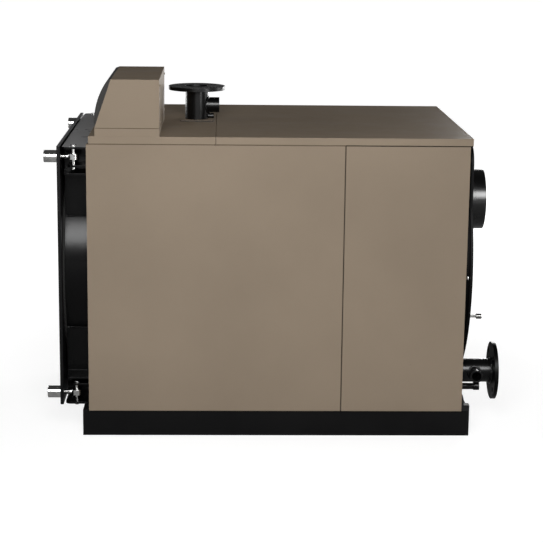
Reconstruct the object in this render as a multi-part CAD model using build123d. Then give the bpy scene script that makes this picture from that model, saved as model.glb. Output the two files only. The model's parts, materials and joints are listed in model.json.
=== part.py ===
from build123d import *
import math
import os

# Industrial fire-tube hot-water boiler, dimensions in millimetres.
# X runs along the boiler from the door to the flue, Y across it, Z up.
# The origin is on the floor, at the middle of the overall length and width.

# Pressure shell, furnace and fire tubes
shell_radius = 395.0
shell_wall = 6.0
shell_nose = 74.0
shell_rear_setback = 44.0
tube_plate_setback = 134.0
tube_plate_thickness = 12.0
furnace_radius = 225.0
furnace_wall = 6.0
furnace_end_gap = 158.0
furnace_knuckle = 45.0
fire_tube_count = 12
fire_tube_radius = 44.45
fire_tube_wall = 3.6

# Sheet casing round the shell
casing_length = 1174.0
casing_side_gap = 50.0
casing_foot_gap = 31.0
casing_top_gap = 20.0
front_panel_length = 792.0
sheet = 2.0
panel_return = 22.0
seam_gap = 1.2
lid_seal = 3.0
lid_seal_width = 6.0
lid_seal_inset = 1.0
lid_height = 25.0
lid_setback = 7.0
lid_overhang = 8.0
front_lid_length = 388.0

# Base frame
base_height = 82.0
base_side_setback = 5.0
base_front_reach = 20.0
base_rear_reach = 26.0
channel_flange = 42.0
channel_wall = 6.0
crossbar_width = 60.0
crossbar_wall = 5.0
saddle_thickness = 10.0
saddle_side_gap = 95.0
front_saddle_setback = 160.0
rear_saddle_setback = 204.0

# Welded front frame that carries the door
frame_side_setback = 7.0
frame_edge_gap = 11.0
frame_plate = 6.0
frame_corner_radius = 17.0
shell_window_height = 356.0
shelf_drop = 52.0

# Hinges: pins, eyebolts and sleeve nuts at the four corners
hinge_standoff = 41.0
hinge_side_setback = 28.0
hinge_drop = 32.0
lug_radius = 18.0
lug_drop = 26.0
pin_radius = 6.0
pin_head_radius = 10.0
pin_head_height = 4.0
pin_tail = 9.0
eye_radius = 17.0
eye_height = 17.0
rod_radius = 8.0
rod_engagement = 25.0
nut_radius = 19.0
nut_length = 41.0
nut_bore_depth = 31.0
nut_chamfer = 1.0
nut_bar_hole = 4.0
nut_bar_setback = 25.0

# Front door
seal_gap = 6.0
door_plate_thickness = 10.0
door_edge_overlap = 2.0
lining_gap = 29.0
lining_thickness = 60.0
lining_chamfer = 6.0
rope_width = 14.0
burner_plate_side = 300.0
burner_plate_thickness = 10.0
burner_plate_corner = 18.0
burner_hole_radius = 85.0
quarl_mouth_radius = 110.0
burner_bolt_circle = 269.0
burner_bolt_radius = 5.5
burner_bolt_count = 4
burner_bolt_angle = 45.0
sight_rise = 235.0
sight_tube_radius = 21.0
sight_tube_wall = 3.6
sight_hole_radius = 14.0
sight_tube_length = 26.0
sight_glass_thickness = 5.0
sight_glass_inset = 1.0

# Control panel on the lid
panel_setback = 26.5
panel_depth = 196.5
panel_width = 450.0
panel_plinth_height = 26.0
panel_top_setback = 50.5
panel_height = 146.5
panel_seal = 2.0
fascia_bulge = 18.0
fascia_crown_rise = 87.0
fascia_top_drop = 8.0
fascia_wall = 3.0
dial_radius = 32.0
dial_height = 3.0
dial_rim = 3.0
dial_recess = 2.0
knob_radius = 18.0
knob_height = 9.0
knob_skirt = 6.0
instrument_depth = 20.0
switch_width = 22.0
switch_length = 30.0
switch_height = 3.0
instrument_rise = 62.0
knob_inset = 50.0
dial_inset = 130.0
switch_inset = 215.0
switch_pitch = 45.0
switch_count = 2

# Water connections
pipe_radius = 38.05
pipe_wall = 3.6
flange_radius = 92.5
flange_thickness = 12.0
flange_bolt_circle = 145.0
flange_bolt_radius = 9.0
flange_bolt_count = 4
flange_bolt_angle = 45.0
weld_step = 3.0
supply_seam_gap = 65.0
supply_rise = 111.5
collar_width = 111.0
collar_corner = 8.0
collar_height = 3.0
collar_lip = 8.0
collar_plate = 1.0
supply_socket_radius = 25.0
supply_socket_bore = 19.5
supply_socket_reach = 74.0
supply_socket_drop = 62.5
pocket_radius = 8.5
pocket_reach = 56.0
pocket_drop = 98.5
return_shell_gap = 51.7
return_angle = 42.2
return_reach = 124.0
return_branch_setback = 114.0
return_socket_radius = 20.5
return_socket_bore = 15.2
return_socket_offset = 55.0
return_socket_reach = 80.0
drain_radius = 10.65
drain_wall = 2.6
drain_drop = 54.0
drain_bend_radius = 15.0
drain_riser_setback = 30.0
drain_end_offset = 76.0
drain_cap_radius = 13.0
drain_cap_length = 18.0

# Rear smokebox, flue and soot hatch
smokebox_depth = 64.0
smokebox_wall = 5.0
cover_overhang = 5.0
cover_thickness = 8.0
cover_lip = 10.0
cover_shoulder_width = 686.0
cover_shoulder_radius = 58.0
flue_radius = 100.0
flue_wall = 3.0
flue_rise = 181.0
flue_reach = 83.0
hatch_drop = 225.0
hatch_width = 190.0
hatch_height = 130.0
hatch_corner = 30.0
hatch_thickness = 8.0
hatch_stud_radius = 4.5
hatch_stud_reach = 96.0
wing_nut_radius = 9.0
wing_nut_length = 17.0
wing_span = 34.0
wing_thickness = 5.0
rear_bracket_height = 18.0
rear_bracket_width = 25.0
rear_upright_height = 59.0
rear_upright_thickness = 8.0
rear_upright_bow = 5.6

# Clearances
seat_gap = 0.3
running_gap = 0.05
bolt_slot_gap = 2.0
nut_clearance = 2.5
cut_margin = 1.0

# Places worked out from the sizes above
shell_inner_radius = shell_radius - shell_wall
axis_height = base_height + casing_foot_gap + shell_radius
door_reach = shell_nose + seal_gap + door_plate_thickness
front_reach = door_reach + nut_length
overall_length = front_reach + casing_length + return_reach
casing_front_x = front_reach - overall_length / 2
casing_rear_x = casing_front_x + casing_length
casing_side_y = shell_radius + casing_side_gap
casing_top_z = axis_height + shell_radius + casing_top_gap
panel_seam_x = casing_front_x + front_panel_length
panel_inner_y = casing_side_y - panel_return - seat_gap
lid_front_x = casing_front_x + lid_setback
lid_rear_x = casing_rear_x + lid_overhang
lid_seam_x = lid_front_x + front_lid_length
lid_top_z = casing_top_z + lid_height
base_front_x = casing_front_x - base_front_reach
base_rear_x = casing_rear_x + base_rear_reach
base_side_y = casing_side_y - base_side_setback
front_saddle_x = casing_front_x + front_saddle_setback
rear_saddle_x = casing_rear_x - rear_saddle_setback
shell_front_x = casing_front_x - shell_nose
shell_rear_x = casing_rear_x - shell_rear_setback
front_plate_x = shell_front_x + tube_plate_setback
rear_plate_x = shell_rear_x - tube_plate_thickness
furnace_end_x = rear_plate_x - furnace_end_gap
fire_tube_circle = (furnace_radius + shell_inner_radius) / 2
frame_half_width = casing_side_y - frame_side_setback
frame_half_height = shell_radius + frame_edge_gap
frame_side_y = math.sqrt(shell_radius**2 - (shell_window_height / 2) ** 2)
hinge_x = casing_front_x - hinge_standoff
hinge_y = frame_half_width - hinge_side_setback
hinge_rise = frame_half_height - hinge_drop
door_back_x = shell_front_x - seal_gap
door_face_x = door_back_x - door_plate_thickness
door_half_height = frame_half_height + door_edge_overlap
lining_radius = shell_inner_radius - lining_gap
rod_tip_x = door_face_x - rod_engagement
cover_radius = shell_radius + cover_overhang
cover_front_x = shell_rear_x + smokebox_depth
cover_face_x = cover_front_x + cover_thickness
flue_height = axis_height + flue_rise
hatch_centre_z = axis_height - hatch_drop
supply_x = lid_seam_x - supply_seam_gap
supply_height = lid_top_z + supply_rise
supply_socket_height = supply_height - supply_socket_drop
pocket_height = supply_height - pocket_drop
return_distance = shell_radius + return_shell_gap
return_y = -return_distance * math.sin(math.radians(return_angle))
return_height = axis_height - return_distance * math.cos(math.radians(return_angle))
return_face_x = casing_rear_x + return_reach
return_socket_x = casing_rear_x + return_socket_offset
return_branch_x = casing_rear_x - return_branch_setback
return_foot = (return_branch_x, return_y, return_height)
drain_height = return_height - drain_drop
drain_riser_x = casing_rear_x - drain_riser_setback
drain_end_x = casing_rear_x + drain_end_offset
panel_front_x = casing_front_x + panel_setback
panel_rear_x = panel_front_x + panel_depth
panel_near_y = -casing_side_y
panel_far_y = panel_near_y + panel_width
panel_base_z = lid_top_z + panel_plinth_height
panel_top_z = panel_base_z + panel_height
panel_chord = math.hypot(panel_top_setback, panel_height)
fascia_radius = (fascia_crown_rise**2 + fascia_bulge**2) / (2 * fascia_bulge)
collar_hole_radius = collar_width / 2 - collar_lip

parts = {}


def block(x0, x1, y0, y1, z0, z1):
    """Rectangular block between two corners."""
    centre = ((x0 + x1) / 2, (y0 + y1) / 2, (z0 + z1) / 2)
    return Pos(*centre) * Box(abs(x1 - x0), abs(y1 - y0), abs(z1 - z0))


def rod_x(x0, x1, y, z, radius):
    """Round bar along X."""
    return Pos((x0 + x1) / 2, y, z) * Rot(0, 90, 0) * Cylinder(radius, abs(x1 - x0))


def rod_y(y0, y1, x, z, radius):
    """Round bar along Y."""
    return Pos(x, (y0 + y1) / 2, z) * Rot(90, 0, 0) * Cylinder(radius, abs(y1 - y0))


def rod_z(z0, z1, x, y, radius):
    """Round bar along Z."""
    return Pos(x, y, (z0 + z1) / 2) * Cylinder(radius, abs(z1 - z0))


def bar(start, end, radius):
    """Round bar between two points."""
    run = Vector(*end) - Vector(*start)
    place = Plane(origin=start, z_dir=run)
    return place * Cylinder(radius, run.length, align=(Align.CENTER, Align.CENTER, Align.MIN))


def bent_bar(radius, bend_radius, points):
    """Round bar along a line of points, with rounded bends."""
    start = Plane(origin=points[0], z_dir=Vector(*points[1]) - Vector(*points[0]))
    return sweep(start * Circle(radius), path=FilletPolyline(*points, radius=bend_radius))


def across(sketch, x0, x1):
    """Sketch drawn in (Y, Z), given a thickness from x0 to x1."""
    return extrude(Plane.YZ.offset(x0) * sketch, amount=x1 - x0)


def tray(x0, x1, y0, y1, z0, z1, open_side):
    """Folded sheet tray, open on one side."""
    inner = [x0 + sheet, x1 - sheet, y0 + sheet, y1 - sheet, z0 + sheet, z1 - sheet]
    beyond = {
        "+y": (3, y1 + cut_margin),
        "-y": (2, y0 - cut_margin),
        "-z": (4, z0 - cut_margin),
    }
    index, value = beyond[open_side]
    inner[index] = value
    return block(x0, x1, y0, y1, z0, z1) - block(*inner)


def seal_strip(x0, x1, y0, y1, z0, z1):
    """Strip of seal round a rectangle, a little way in from its edge."""
    inset = lid_seal_inset
    inner = lid_seal_inset + lid_seal_width
    strip = block(x0 + inset, x1 - inset, y0 + inset, y1 - inset, z0, z1)
    return strip - block(x0 + inner, x1 - inner, y0 + inner, y1 - inner, z0 - cut_margin,
                         z1 + cut_margin)


def shell_body(radius, x0, x1):
    """Full round body on the boiler axis."""
    return rod_x(x0, x1, 0, axis_height, radius)


def base_frame():
    """Channel rails along both sides and box bars between them."""
    rails = []
    for side in (-1, 1):
        outer = side * base_side_y
        tip = side * (base_side_y - channel_flange)
        web = side * (base_side_y - channel_wall)
        rail = block(base_front_x, base_rear_x, outer, tip, 0, base_height)
        rail -= block(base_front_x - cut_margin, base_rear_x + cut_margin, web,
                      tip - side * cut_margin, channel_wall, base_height - channel_wall)
        rails.append(rail)
    parts["base_rails"] = Compound(children=rails)
    bars = []
    inner_half = base_side_y - channel_flange
    half_bar = crossbar_width / 2
    for x in (base_front_x + half_bar, front_saddle_x, rear_saddle_x, base_rear_x - half_bar):
        tube = block(x - half_bar, x + half_bar, -inner_half, inner_half, 0, base_height)
        tube -= block(x - half_bar + crossbar_wall, x + half_bar - crossbar_wall,
                      -inner_half - cut_margin, inner_half + cut_margin, crossbar_wall,
                      base_height - crossbar_wall)
        bars.append(tube)
    parts["base_crossbars"] = Compound(children=bars)


def saddles():
    """Curved cradle plates between the base bars and the shell."""
    half_width = shell_radius - saddle_side_gap
    cradle_top = axis_height - math.sqrt(shell_radius**2 - half_width**2)
    plates = []
    for x in (front_saddle_x, rear_saddle_x):
        x0 = x - saddle_thickness / 2
        x1 = x + saddle_thickness / 2
        plate = block(x0, x1, -half_width, half_width, base_height, cradle_top)
        plates.append(plate - shell_body(shell_radius + seat_gap, x0 - cut_margin,
                                         x1 + cut_margin))
    parts["shell_saddles"] = Compound(children=plates)


def tube_places():
    """Centres of the fire tubes in (Y, Z), evenly round the furnace."""
    step = 2 * math.pi / fire_tube_count
    return [
        (fire_tube_circle * math.sin((k + 0.5) * step),
         axis_height + fire_tube_circle * math.cos((k + 0.5) * step))
        for k in range(fire_tube_count)
    ]


def tube_plate(x):
    """Round plate drilled for the fire tubes."""
    x0 = x - cut_margin
    x1 = x + tube_plate_thickness + cut_margin
    plate = shell_body(shell_inner_radius - seat_gap, x, x + tube_plate_thickness)
    for y, z in tube_places():
        plate -= rod_x(x0, x1, y, z, fire_tube_radius + seat_gap)
    return plate


def pressure_body():
    """Shell, tube plates and fire tubes."""
    shell = shell_body(shell_radius, shell_front_x, shell_rear_x)
    shell -= shell_body(shell_inner_radius, shell_front_x - cut_margin, shell_rear_x + cut_margin)
    shell -= rod_z(axis_height, supply_height, supply_x, 0, pipe_radius + seat_gap)
    shell -= bar((return_branch_x, 0, axis_height), return_foot, pipe_radius + seat_gap)
    parts["boiler_shell"] = shell
    front_plate = tube_plate(front_plate_x)
    front_plate -= shell_body(furnace_radius + seat_gap, front_plate_x - cut_margin,
                              front_plate_x + tube_plate_thickness + cut_margin)
    parts["tube_plates"] = Compound(children=[front_plate, tube_plate(rear_plate_x)])
    tubes = []
    for y, z in tube_places():
        tube = rod_x(front_plate_x, shell_rear_x, y, z, fire_tube_radius)
        tube -= rod_x(front_plate_x - cut_margin, shell_rear_x + cut_margin, y, z,
                      fire_tube_radius - fire_tube_wall)
        tubes.append(tube)
    parts["fire_tubes"] = Compound(children=tubes)


def furnace():
    """Furnace cylinder with a dished, closed rear end."""
    body = shell_body(furnace_radius, front_plate_x, furnace_end_x)
    body = fillet(body.edges().sort_by(Axis.X)[-1], furnace_knuckle)
    hollow = shell_body(furnace_radius - furnace_wall, front_plate_x - cut_margin,
                        furnace_end_x - furnace_wall)
    hollow = fillet(hollow.edges().sort_by(Axis.X)[-1], furnace_knuckle - furnace_wall)
    parts["furnace"] = body - hollow


def frame_outline():
    """Plan of the frame's top and bottom plates, rounded round the hinge pins."""
    middle_x = (shell_front_x + casing_front_x) / 2
    plan = Pos(middle_x, 0) * Rectangle(shell_nose, 2 * frame_half_width)
    return fillet(plan.vertices().group_by(Axis.X)[0], frame_corner_radius)


def front_frame():
    """Plates round the shell nose: top, bottom, two sides and a bulkhead."""
    top_z = axis_height + frame_half_height
    bottom_z = axis_height - frame_half_height
    pin_holes = [
        rod_z(bottom_z - cut_margin, top_z + cut_margin, hinge_x, side * hinge_y,
              pin_radius + running_gap)
        for side in (-1, 1)
    ]
    plan = frame_outline()
    for name, z in (("front_frame_top", top_z - frame_plate), ("front_frame_bottom", bottom_z)):
        plate = extrude(Plane.XY.offset(z) * plan, amount=frame_plate)
        parts[name] = plate - pin_holes
    shell_cut = shell_body(shell_radius + seat_gap, shell_front_x - cut_margin,
                           casing_front_x + frame_plate + cut_margin)
    sides = []
    for side in (-1, 1):
        inner = side * (frame_side_y - frame_plate)
        upright = block(shell_front_x, casing_front_x, inner, side * frame_side_y,
                        bottom_z + frame_plate, top_z - frame_plate)
        upright -= shell_cut
        for level in (-1, 1):
            z0 = axis_height + level * (hinge_rise - shelf_drop) - frame_plate / 2
            shelf = extrude(Plane.XY.offset(z0) * plan, amount=frame_plate)
            keep = block(shell_front_x, casing_front_x, side * frame_side_y,
                         side * casing_side_y, z0, z0 + frame_plate)
            upright += shelf & keep
        sides.append(upright)
    parts["front_frame_sides"] = Compound(children=sides)
    bulkhead = block(casing_front_x, casing_front_x + frame_plate, -panel_inner_y,
                     panel_inner_y, base_height, casing_top_z - sheet)
    parts["front_bulkhead"] = bulkhead - shell_cut


def hinge_lugs():
    """Inner lug of each corner hinge, welded to the frame side."""
    lugs = []
    for side in (-1, 1):
        root_y = side * frame_side_y
        pin_y = side * hinge_y
        tip_y = pin_y + side * lug_radius
        nose_x = hinge_x - lug_radius
        for level in (-1, 1):
            eye_side_z = axis_height + level * (hinge_rise - lug_drop)
            axis_side_z = eye_side_z - level * frame_plate
            lug = block(nose_x, casing_front_x, root_y, pin_y, axis_side_z, eye_side_z)
            lug += block(hinge_x, casing_front_x, root_y, tip_y, axis_side_z, eye_side_z)
            lug += rod_z(axis_side_z, eye_side_z, hinge_x, pin_y, lug_radius)
            lug -= rod_z(axis_side_z - level * cut_margin, eye_side_z + level * cut_margin,
                         hinge_x, pin_y, pin_radius + running_gap)
            lugs.append(lug)
    parts["hinge_lugs"] = Compound(children=lugs)


def hinge_pins():
    """Headed pins, each dropped through a frame plate and its lug."""
    pins = []
    plate_rise = frame_half_height
    lug_rise = hinge_rise - lug_drop - frame_plate
    for side in (-1, 1):
        y = side * hinge_y
        for low, high in ((lug_rise, plate_rise), (-plate_rise, -lug_rise)):
            seat = axis_height + high
            pin = rod_z(axis_height + low - pin_tail, seat, hinge_x, y, pin_radius)
            pin += rod_z(seat, seat + pin_head_height, hinge_x, y, pin_head_radius)
            pins.append(pin)
    parts["hinge_pins"] = Compound(children=pins)


def eyebolts():
    """Eye on each pin with a rod that runs out through the door."""
    for name, side in (("eyebolts_near", -1), ("eyebolts_far", 1)):
        y = side * hinge_y
        bolts = []
        for level in (-1, 1):
            z = axis_height + level * hinge_rise
            bolt = rod_z(z - eye_height / 2, z + eye_height / 2, hinge_x, y, eye_radius)
            bolt += rod_x(rod_tip_x, hinge_x, y, z, rod_radius)
            bolt -= rod_z(z - eye_height, z + eye_height, hinge_x, y, pin_radius + running_gap)
            bolts.append(bolt)
        parts[name] = Compound(children=bolts)


def sleeve_nuts():
    """Round sleeve nuts that clamp the door plate, each with a cross hole for a bar."""
    tip_x = door_face_x - nut_length
    bar_hole_x = door_face_x - nut_bar_setback
    nuts = []
    for side, clearance in ((-1, seat_gap), (1, nut_clearance)):
        y = side * hinge_y
        for level in (-1, 1):
            z = axis_height + level * hinge_rise
            nut = rod_x(tip_x, door_face_x, y, z, nut_radius)
            nut = chamfer(nut.edges().filter_by(GeomType.CIRCLE).group_by(Axis.X)[0],
                          nut_chamfer)
            nut -= rod_x(door_face_x - nut_bore_depth, door_face_x + cut_margin, y, z,
                         rod_radius + clearance)
            nut -= rod_z(z, z + nut_radius + cut_margin, bar_hole_x, y, nut_bar_hole)
            nuts.append(nut)
    parts["sleeve_nuts"] = Compound(children=nuts)


def front_door():
    """Door plate with its refractory lining, rope seal, burner plate and sight tube."""
    plate = block(door_face_x, door_back_x, -frame_half_width, frame_half_width,
                  axis_height - door_half_height, axis_height + door_half_height)
    through = (door_face_x - cut_margin, door_back_x + cut_margin)
    slot_radius = rod_radius + bolt_slot_gap
    for level in (-1, 1):
        z = axis_height + level * hinge_rise
        plate -= rod_x(*through, -hinge_y, z, rod_radius + seat_gap)
        plate -= rod_x(*through, hinge_y, z, slot_radius)
        plate -= block(*through, hinge_y, casing_side_y, z - slot_radius, z + slot_radius)
    sight_z = axis_height + sight_rise
    plate -= shell_body(burner_hole_radius, *through)
    plate -= rod_x(*through, 0, sight_z, sight_hole_radius)
    parts["door_plate"] = plate

    lining_x = door_back_x + lining_thickness
    lining = shell_body(lining_radius, door_back_x, lining_x)
    lining = chamfer(lining.edges().sort_by(Axis.X)[-1], lining_chamfer)
    quarl = Pos((door_back_x + lining_x) / 2, 0, axis_height) * Rot(0, 90, 0)
    lining -= quarl * Cone(burner_hole_radius, quarl_mouth_radius, lining_thickness)
    lining -= rod_x(door_back_x - cut_margin, lining_x + cut_margin, 0, sight_z,
                    sight_hole_radius)
    parts["door_lining"] = lining

    rope_radius = shell_radius - shell_wall / 2
    rope = shell_body(rope_radius + rope_width / 2, door_back_x, shell_front_x - seat_gap)
    rope -= shell_body(rope_radius - rope_width / 2, door_back_x - cut_margin, shell_front_x)
    parts["door_rope_seal"] = rope

    burner = Pos(0, axis_height) * RectangleRounded(burner_plate_side, burner_plate_side,
                                                    burner_plate_corner)
    burner -= Pos(0, axis_height) * Circle(burner_hole_radius)
    holes = PolarLocations(burner_bolt_circle / 2, burner_bolt_count, burner_bolt_angle)
    burner -= Pos(0, axis_height) * holes * Circle(burner_bolt_radius)
    parts["burner_plate"] = across(burner, door_face_x - burner_plate_thickness, door_face_x)

    mouth_x = door_face_x - sight_tube_length
    glass_x = mouth_x + sight_glass_inset
    seat_x = glass_x + sight_glass_thickness
    seat_radius = sight_tube_radius - sight_tube_wall
    tube = rod_x(mouth_x, door_face_x, 0, sight_z, sight_tube_radius)
    tube -= rod_x(mouth_x - cut_margin, door_face_x + cut_margin, 0, sight_z, sight_hole_radius)
    parts["sight_tube"] = tube - rod_x(mouth_x - cut_margin, seat_x, 0, sight_z, seat_radius)
    parts["sight_glass"] = rod_x(glass_x, seat_x, 0, sight_z, seat_radius - seat_gap)


def casing():
    """Folded side panels, rear panel and the two lids."""
    sides = (("near", -1, "+y"), ("far", 1, "-y"))
    for label, side, open_side in sides:
        y0, y1 = sorted((side * casing_side_y, side * (casing_side_y - panel_return)))
        front = tray(casing_front_x, panel_seam_x - seam_gap, y0, y1, base_height,
                     casing_top_z, open_side)
        rear = tray(panel_seam_x, casing_rear_x, y0, y1, base_height, casing_top_z, open_side)
        parts[f"side_panel_{label}_front"] = front
        parts[f"side_panel_{label}_rear"] = rear
    back = block(casing_rear_x - sheet, casing_rear_x, -panel_inner_y, panel_inner_y,
                 base_height, casing_top_z - sheet)
    through = (casing_rear_x - sheet - cut_margin, casing_rear_x + cut_margin)
    back -= across(smokebox_outline(cover_lip - seat_gap), *through)
    back -= rod_x(*through, return_y, return_height, pipe_radius + seat_gap)
    back -= rod_x(*through, return_y, drain_height, drain_radius + seat_gap)
    parts["rear_panel"] = back
    lid_foot_z = casing_top_z + lid_seal
    seals = []
    for name, x0, x1 in (("lid_front", lid_front_x, lid_seam_x - seam_gap),
                         ("lid_rear", lid_seam_x, lid_rear_x)):
        parts[name] = tray(x0, x1, -casing_side_y, casing_side_y, lid_foot_z, lid_top_z, "-z")
        seals.append(seal_strip(x0, x1, -casing_side_y, casing_side_y, casing_top_z, lid_foot_z))
    parts["lid_front"] -= rod_z(casing_top_z, lid_top_z + cut_margin, supply_x, 0,
                                collar_hole_radius)
    parts["lid_seals"] = Compound(children=seals)


def panel_profile():
    """Side view of the control panel hood in (X, Z)."""
    return Polyline(
        (panel_front_x, panel_base_z),
        (panel_front_x + panel_top_setback, panel_top_z),
        (panel_rear_x, panel_top_z),
        (panel_rear_x, panel_base_z),
        close=True,
    )


def along_y(face, y0, y1):
    """Face drawn in (X, Z), given a thickness from y0 to y1."""
    return extrude(Plane.XZ.offset(-y1) * face, amount=y1 - y0)


def fascia_point(rise, lift):
    """Point in (X, Z) some way up the panel's sloping front and out from it."""
    up_x = panel_top_setback / panel_chord
    up_z = panel_height / panel_chord
    return (panel_front_x + up_x * rise - up_z * lift, panel_base_z + up_z * rise + up_x * lift)


def fascia_lift(rise, radius):
    """How far an arc about the fascia's centre stands out from the slope."""
    return fascia_bulge - fascia_radius + math.sqrt(radius**2 - (rise - fascia_crown_rise) ** 2)


def fascia_face(wall):
    """Side view of the fascia, or of the hollow that leaves a wall inside it."""
    radius = fascia_radius - wall
    half_chord = math.sqrt(radius**2 - (fascia_radius - fascia_bulge) ** 2)
    top_rise = panel_chord - fascia_top_drop - wall
    low = fascia_point(fascia_crown_rise - half_chord, 0)
    crown = fascia_point(fascia_crown_rise, fascia_bulge - wall)
    top = fascia_point(top_rise, fascia_lift(top_rise, radius))
    corner = fascia_point(panel_chord - wall, 0)
    return make_face([ThreePointArc(low, crown, top), Line(top, corner), Line(corner, low)])


def fascia_place(y):
    """Seat of an instrument on the curved fascia, with +Z outwards."""
    x, z = fascia_point(instrument_rise, fascia_lift(instrument_rise, fascia_radius))
    centre_x, centre_z = fascia_point(fascia_crown_rise, fascia_bulge - fascia_radius)
    return Plane(origin=(x, y, z), x_dir=(0, -1, 0), z_dir=(x - centre_x, 0, z - centre_z))


def control_panel():
    """Plinth, bent hood with its two ends, and curved fascia with the instruments."""
    plinth_top_z = panel_base_z - panel_seal
    parts["panel_plinth"] = tray(panel_front_x, panel_rear_x, panel_near_y, panel_far_y,
                                 lid_top_z, plinth_top_z, "-z")
    parts["panel_seal"] = seal_strip(panel_front_x, panel_rear_x, panel_near_y, panel_far_y,
                                     plinth_top_z, panel_base_z)
    end = make_face(panel_profile())
    inner_near = panel_near_y + sheet
    inner_far = panel_far_y - sheet
    top_front_x = panel_front_x + panel_top_setback
    hood = along_y(end, panel_near_y, inner_near) + along_y(end, inner_far, panel_far_y)
    hood += block(top_front_x, panel_rear_x, inner_near, inner_far, panel_top_z - sheet,
                  panel_top_z)
    hood += block(panel_rear_x - sheet, panel_rear_x, inner_near, inner_far, panel_base_z,
                  panel_top_z)
    parts["panel_hood"] = hood

    fascia = along_y(fascia_face(0), panel_near_y, panel_far_y)
    fascia -= along_y(fascia_face(fascia_wall), panel_near_y + fascia_wall,
                      panel_far_y - fascia_wall)
    dial_plane = fascia_place(panel_far_y - dial_inset)
    knob_plane = fascia_place(panel_far_y - knob_inset)
    dial_body = dial_radius - dial_rim
    knob_body = knob_radius - knob_skirt
    fascia -= dial_plane * Cylinder(dial_body + seat_gap, 4 * instrument_depth)
    fascia -= knob_plane * Cylinder(knob_body + seat_gap, 4 * instrument_depth)
    rockers = []
    for k in range(switch_count):
        plane = fascia_place(panel_far_y - switch_inset - k * switch_pitch)
        fascia -= plane * Box(switch_width, switch_length, 2 * instrument_depth)
        body = Pos(0, 0, (switch_height - instrument_depth) / 2)
        rocker = body * Box(switch_width - 2 * seat_gap, switch_length - 2 * seat_gap,
                            switch_height + instrument_depth)
        rockers.append(plane * rocker)
    parts["panel_fascia"] = fascia
    parts["panel_switches"] = Compound(children=rockers)
    sunk = Pos(0, 0, -instrument_depth / 2)
    dial = Pos(0, 0, dial_height / 2) * Cylinder(dial_radius, dial_height)
    dial += sunk * Cylinder(dial_body, instrument_depth)
    dial -= Pos(0, 0, dial_height) * Cylinder(dial_body, 2 * dial_recess)
    parts["thermometer_dial"] = dial_plane * dial
    knob = Pos(0, 0, knob_height / 2) * Cylinder(knob_radius, knob_height)
    knob += sunk * Cylinder(knob_body, instrument_depth)
    parts["thermostat_knob"] = knob_plane * knob


def flange_disc():
    """Flat pipe flange on the XY plane, drilled on its bolt circle."""
    disc = Circle(flange_radius) - Circle(pipe_radius + seat_gap)
    disc -= PolarLocations(flange_bolt_circle / 2, flange_bolt_count,
                           flange_bolt_angle) * Circle(flange_bolt_radius)
    return extrude(disc, amount=flange_thickness)


def supply_connection():
    """Riser through the lid with its flange, side socket, pocket and rubber collar."""
    bore = pipe_radius - pipe_wall
    foot_z = axis_height + shell_inner_radius
    socket_end_x = supply_x + supply_socket_reach
    pipe = rod_z(foot_z, supply_height - weld_step, supply_x, 0, pipe_radius)
    pipe += rod_x(supply_x, supply_x + pocket_reach, 0, pocket_height, pocket_radius)
    pipe -= rod_z(foot_z - cut_margin, supply_height, supply_x, 0, bore)
    pipe -= rod_x(supply_x, socket_end_x, 0, supply_socket_height, supply_socket_bore)
    parts["supply_pipe"] = pipe

    socket = rod_x(supply_x, socket_end_x, 0, supply_socket_height, supply_socket_radius)
    socket -= rod_z(foot_z, supply_height, supply_x, 0, pipe_radius)
    socket -= rod_x(supply_x, socket_end_x + cut_margin, 0, supply_socket_height,
                    supply_socket_bore)
    parts["supply_socket"] = socket

    flange = Pos(supply_x, 0, supply_height - flange_thickness) * flange_disc()
    parts["supply_flange"] = flange

    collar_top_z = lid_top_z + collar_height
    square = Pos(supply_x, 0) * RectangleRounded(collar_width, collar_width, collar_corner)
    square -= Pos(supply_x, 0) * Circle(pipe_radius + seat_gap)
    sleeve = rod_z(lid_top_z - sheet, lid_top_z, supply_x, 0, collar_hole_radius - seat_gap)
    sleeve -= rod_z(lid_top_z - sheet - cut_margin, lid_top_z + cut_margin, supply_x, 0,
                    pipe_radius + seat_gap)
    parts["pipe_collar"] = sleeve + extrude(Plane.XY.offset(lid_top_z) * square,
                                            amount=collar_height)
    parts["collar_plate"] = extrude(Plane.XY.offset(collar_top_z) * square, amount=collar_plate)


def pipe_leg(start, end, joint, keep):
    """Straight length of pipe, cut off at the mitre where it joins the next one."""
    leg = bar(start, end, pipe_radius)
    run = (Vector(*end) - Vector(*start)).normalized() * cut_margin
    leg -= bar(Vector(*start) - run, Vector(*end) + run, pipe_radius - pipe_wall)
    return split(leg, bisect_by=joint, keep=keep)


def return_run():
    """The low return pipe and the branch that turns up from it into the shell."""
    shell_share = shell_inner_radius / return_distance
    shell_point = Vector(return_branch_x, return_y * shell_share,
                         axis_height - (axis_height - return_height) * shell_share)
    foot = Vector(*return_foot)
    along = Vector(-1, 0, 0)
    onward = (shell_point - foot).normalized()
    mitre = Plane(origin=foot, z_dir=along + onward)
    past = 2 * pipe_radius
    face = Vector(return_face_x - weld_step, return_y, return_height)
    pipe = pipe_leg(face, foot + along * past, mitre, Keep.BOTTOM)
    branch = pipe_leg(foot - onward * past, shell_point, mitre, Keep.TOP)
    return pipe, branch


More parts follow.
